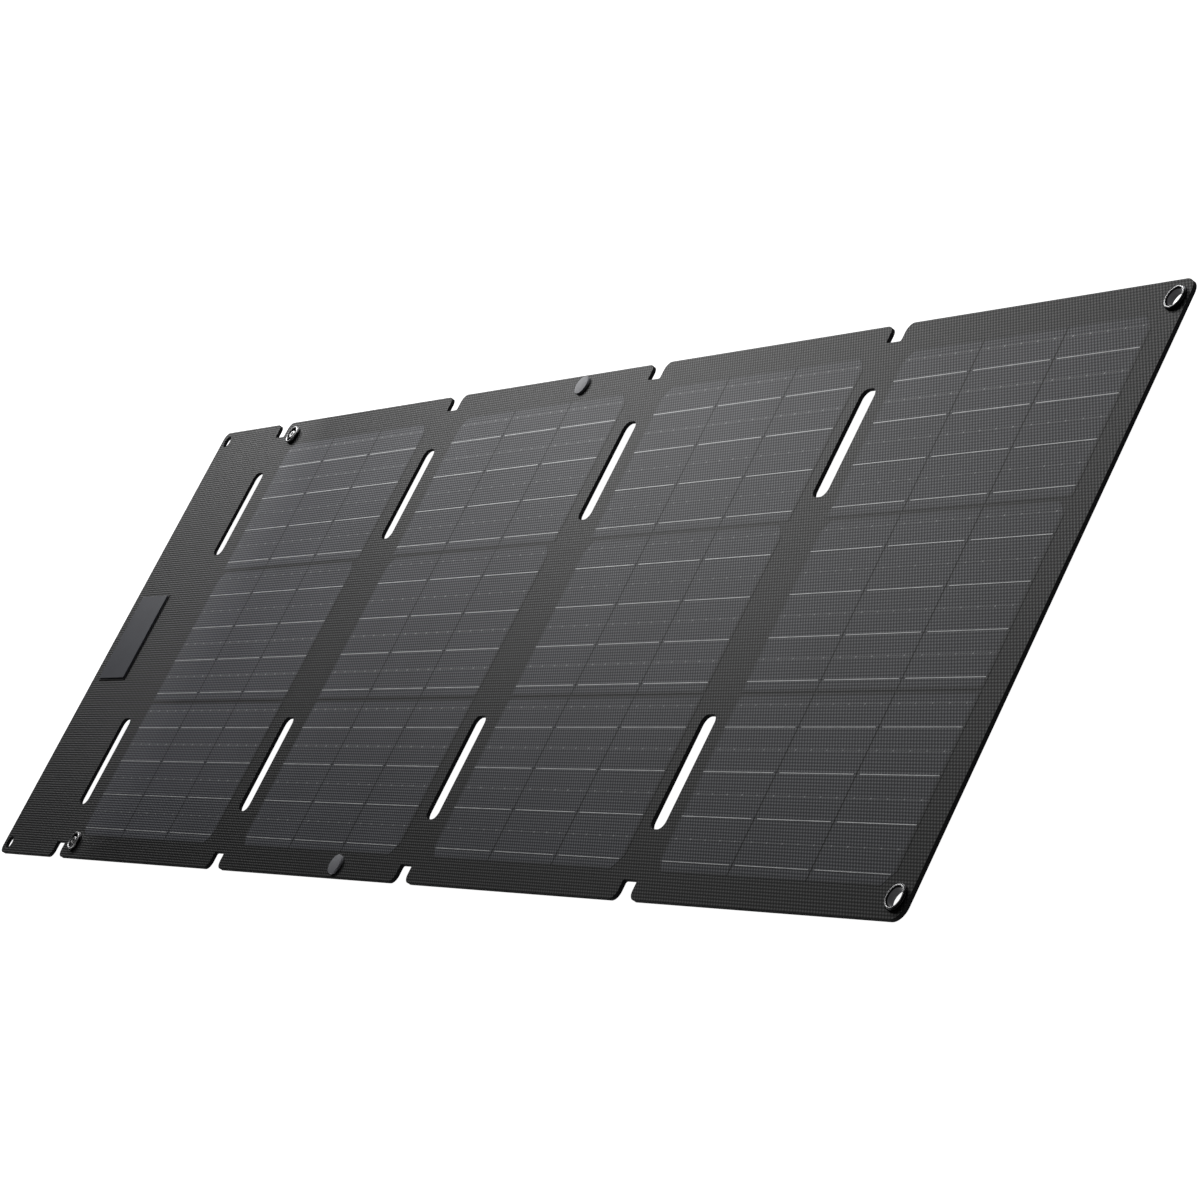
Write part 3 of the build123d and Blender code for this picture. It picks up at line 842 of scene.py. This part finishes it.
fit_turned(
    "stud_rims", "leaf_1_stud_rims",
    [(5.65, 2.2, 0.5), (5.65, 0.95, 0.12), (6.1, 0.8, 0.3), (6.1, 0.0, 0), (4.6, 0.0, 0), (4.6, 2.2, 0.5)],
    nickel, "leaf_1", closed=True,
)
fit_turned(
    "stud_posts", "leaf_1_stud_posts",
    [(0, -1.0, 0), (1.1, -1.0, 0.1), (1.1, 1.9, 0.25), (2.6, 1.9, 0.5), (2.6, 0.5, 0.3), (4.55, 0.5, 0.1),
     (4.55, 0.0, 0), (4.05, 0.0, 0), (4.05, back, 0), (0, back, 0)],
    nickel, "leaf_1",
)
fit_turned(
    "stud_washers", "leaf_1_stud_washers",
    [(0, back, 0), (6.0, back, 0.05), (6.0, behind, 0.3), (4.3, behind, 0.15), (4.0, back - 0.35, 0.15),
     (1.6, back - 0.35, 0.2), (1.3, back - 0.55, 0.2), (0, back - 0.55, 0)],
    nickel, "leaf_1",
)

# ======================================================================
# Eyelets of leaf 4. One-piece brass barrels, rolled over in front with a
# thin lip in painted highlight, plated black nickel and set over a washer behind.
# ======================================================================
fit_turned(
    "eyelets", "leaf_4_eyelets",
    [(5.6, 1.5, 0.4), (5.8, 0.95, 0.2), (6.2, 0.75, 0.25), (6.2, 0.0, 0), (5.2, 0.0, 0), (5.2, behind, 0.1),
     (4.6, behind, 0.1), (4.6, 0.75, 0.3), (4.95, 1.5, 0.25)],
    nickel, "leaf_4", closed=True,
)
fit_turned(
    "eyelet_washers", "leaf_4_eyelet_washers",
    [(6.6, back, 0.05), (6.6, behind, 0.3), (5.2, behind, 0.1), (5.2, back, 0)],
    nickel, "leaf_4", closed=True,
)

# ======================================================================
# Closures of leaf 2. A flat moulded cap hides the rivet in front; behind it
# stands a mushroom stud that the hole in the flap buttons over.
# ======================================================================
def moulded(name, dark, light, roughness, depth=0.02 * mm, fine=1500.0):
    """Moulded plastic with a fine spark-eroded texture."""
    material, tree, shader = new_material(name)
    mottle = add_node(tree, "ShaderNodeGroup", node_tree=grain)
    tree.links.new(place_of(tree, False), mottle.inputs["Place"])
    mottle.inputs["Fine Scale"].default_value = fine
    mottle.inputs["Slow Scale"].default_value = 60.0
    colour = mix_colour(tree, span(tree, mottle.outputs["Slow"], 0.0, 1.0, 0.3, 0.7), dark, light)
    tree.links.new(colour, shader.inputs["Base Color"])
    rough = span(tree, mottle.outputs["Fine"], roughness - 0.06, roughness + 0.06)
    tree.links.new(rough, shader.inputs["Roughness"])
    tree.links.new(bump(tree, mottle.outputs["Fine"], depth), shader.inputs["Normal"])
    shader.inputs["Specular IOR Level"].default_value = 0.5
    return material


cap_finish = moulded("grey_cap", (0.30, 0.305, 0.335), (0.36, 0.365, 0.40), 0.5)
cap_height = (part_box("leaf_2_closure_caps")[1].z - z_front) / mm
fit_turned(
    "closure_caps", "leaf_2_closure_caps",
    [(0, cap_height, 0), (5.6, cap_height, 0.22), (5.6, 0.0, 0), (1.6, 0.0, 0), (1.6, back, 0), (0, back, 0)],
    cap_finish, "leaf_2",
)
fit_turned(
    "closure_studs", "leaf_2_closure_studs",
    [(0, back, 0), (5.6, back, 0.05), (5.6, behind, 0.25), (2.4, behind, 0.35), (2.4, back - 3.0, 0.25),
     (3.2, back - 3.0, 0.45), (3.2, back - 4.6, 0.45), (1.4, back - 4.6, 0.2), (1.2, back - 4.3, 0.1),
     (0, back - 4.3, 0)],
    nickel, "leaf_2",
)

# ======================================================================
# Controller plate. A satin blue-grey plate over the controller on the front
# of the flap, set in a thin black bezel with a fine groove round it.
# ======================================================================
plate_finish = moulded(
    "satin_plate", (0.062, 0.066, 0.083), (0.075, 0.080, 0.099), 0.42, depth=0.006 * mm
)
bezel_finish = moulded("black_bezel", (0.010, 0.010, 0.011), (0.018, 0.018, 0.019), 0.5)
plate_corner = 0.8 * mm
plate_sides = [(0, 0), (0, 0.8), (0.06 * mm, 0.93), (0.2 * mm, 1)]
bezel_sides = [(0, 0), (0, 0.6), (0.15 * mm, 1)]


def rounded_plate(name, node, levels, material):
    """A flat plate in its node's own box; levels are (inset, share of height) up its side."""
    low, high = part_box(node)
    work, rows = bmesh.new(), []
    for inset, share in levels:
        around = [
            (x, y, plate_corner)
            for x, y in (
                (low.x + inset, low.y + inset), (high.x - inset, low.y + inset),
                (high.x - inset, high.y - inset), (low.x + inset, high.y - inset),
            )
        ]
        z = low.z + share * (high.z - low.z)
        rows.append([work.verts.new((p.x, p.y, z)) for p in round_corners(around)])
    for a, b in zip(rows, rows[1:]):
        for i in range(len(a)):
            work.faces.new((a[i - 1], a[i], b[i], b[i - 1]))
    work.faces.new(rows[0][::-1])
    work.faces.new(rows[-1])
    bmesh.ops.recalc_face_normals(work, faces=work.faces)
    piece = piece_from(work, name, material)
    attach(piece, "flap")
    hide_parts(node)


rounded_plate("plate", "controller_plate", plate_sides, plate_finish)
rounded_plate("bezel", "controller_bezel", bezel_sides, bezel_finish)

# ======================================================================
# Controller case and what it holds. A black moulded tray closed by the flap,
# held by four cross-head screws through the flap into the plate; in it a
# circuit board on four feet, with its inductor, chips and socket.
# ======================================================================
case_finish = moulded(
    "black_case", (0.009, 0.009, 0.010), (0.016, 0.016, 0.017), 0.48, depth=0.05 * mm, fine=1100.0
)
screw_finish = bare_metal("zinc_screw", (0.10, 0.10, 0.105), (0.16, 0.16, 0.165), 0.3)
socket_finish = bare_metal("socket_steel", (0.50, 0.50, 0.49), (0.62, 0.62, 0.60), 0.25)
board_finish = moulded("green_laminate", (0.004, 0.026, 0.014), (0.006, 0.040, 0.020), 0.3, depth=0.01 * mm)
ferrite_finish = moulded("ferrite", (0.035, 0.034, 0.033), (0.055, 0.053, 0.052), 0.6)
chip_finish = moulded("chip_resin", (0.012, 0.012, 0.012), (0.022, 0.022, 0.022), 0.55)


def softened_copy(name, node, width, material):
    """The node's own shape, merged and with every hard edge broken by a small round."""
    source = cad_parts[node].data
    work = bmesh.new()
    work.from_mesh(source)
    bmesh.ops.remove_doubles(work, verts=work.verts, dist=1e-6)
    bmesh.ops.dissolve_limit(work, angle_limit=radians(1), verts=work.verts, edges=work.edges)
    piece = piece_from(work, name, material)
    rounded = piece.modifiers.new("broken_edges", "BEVEL")
    rounded.width, rounded.segments = width, 2
    rounded.limit_method, rounded.angle_limit = "ANGLE", radians(50)
    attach(piece, "flap")
    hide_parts(node)


softened_copy("case", "controller_case", 0.15 * mm, case_finish)
softened_copy("screws", "controller_screws", 0.05 * mm, screw_finish)
softened_copy("inductor", "controller_inductor", 0.1 * mm, ferrite_finish)
refinish("controller_board", board_finish)
refinish("controller_chips", chip_finish)
refinish("controller_spacers", case_finish)
refinish("controller_usb_socket", socket_finish)

# ======================================================================
# The studio. The panel lies flat on a plain pale floor under soft light;
# none of this belongs to the object.
# ======================================================================
floor_mesh = bpy.data.meshes.new("floor")
floor_half, floor_z = 6.0, cad_low.z - 0.2 * mm
floor_corners = [(a * floor_half, b * floor_half, floor_z) for a, b in ((-1, -1), (1, -1), (1, 1), (-1, 1))]
floor_mesh.from_pydata(floor_corners, [], [(0, 1, 2, 3)])
floor = bpy.data.objects.new("floor", floor_mesh)
bpy.context.scene.collection.objects.link(floor)
floor_finish, floor_tree, floor_shader = new_material("pale_floor")
floor_place = place_of(floor_tree, False)
floor_shade = add_node(floor_tree, "ShaderNodeTexNoise", {"Scale": 1.5, "Vector": floor_place})
floor_colour = mix_colour(floor_tree, floor_shade.outputs["Fac"], (0.86, 0.86, 0.86), (0.88, 0.88, 0.88))
floor_tree.links.new(floor_colour, floor_shader.inputs["Base Color"])
floor_shader.inputs["Roughness"].default_value = 0.9
floor_shader.inputs["Specular IOR Level"].default_value = 0.0
floor_tree.links.new(floor_colour, floor_shader.inputs["Emission Color"])
floor_shader.inputs["Emission Strength"].default_value = 1.12
floor_mesh.materials.append(floor_finish)

world = bpy.data.worlds.new("studio")
world.use_nodes = True
world.node_tree.nodes["Background"].inputs["Color"].default_value = (1, 1, 1, 1)
world.node_tree.nodes["Background"].inputs["Strength"].default_value = 0.03
bpy.context.scene.world = world


def softbox(name, place, target, width, height, power):
    data = bpy.data.lights.new(name, "AREA")
    data.shape, data.size, data.size_y, data.energy = "RECTANGLE", width, height, power
    lamp = bpy.data.objects.new(name, data)
    lamp.location = place
    lamp.rotation_euler = (Vector(target) - Vector(place)).to_track_quat("-Z", "Y").to_euler()
    lamp.visible_camera = False
    bpy.context.scene.collection.objects.link(lamp)


softbox("far_left", (-2.2, 1.0, 0.8), (-0.1, 0.0, 0), 0.8, 0.6, 7.2)
softbox("near_left", (-0.55, 0.5, 0.3), (-0.1, 0.0, 0), 0.5, 0.2, 0.8)
softbox("far_side", (-0.34, 1.2, 0.6), (-0.1, 0.0, 0), 1.6, 0.3, 9.4)

camera_data = bpy.data.cameras.new("camera")
camera_data.lens, camera_data.sensor_width = 113.23, 36.0
camera_data.shift_x, camera_data.shift_y = -0.00042, 0.00042
camera_data.clip_start, camera_data.clip_end = 0.05, 50.0
camera = bpy.data.objects.new("camera", camera_data)
across = Vector((0.50332, 0.43174, -0.74851)).normalized()
upward = Vector((0.02941, 0.85717, 0.51419))
upward = (upward - across * upward.dot(across)).normalized()
backward = across.cross(upward)
turn = Matrix((across, upward, backward)).transposed().to_4x4()
camera.matrix_world = Matrix.Translation((1.71749, -0.51388, 0.78698)) @ turn
bpy.context.scene.collection.objects.link(camera)
bpy.context.scene.camera = camera
bpy.context.scene.view_settings.view_transform = "Standard"
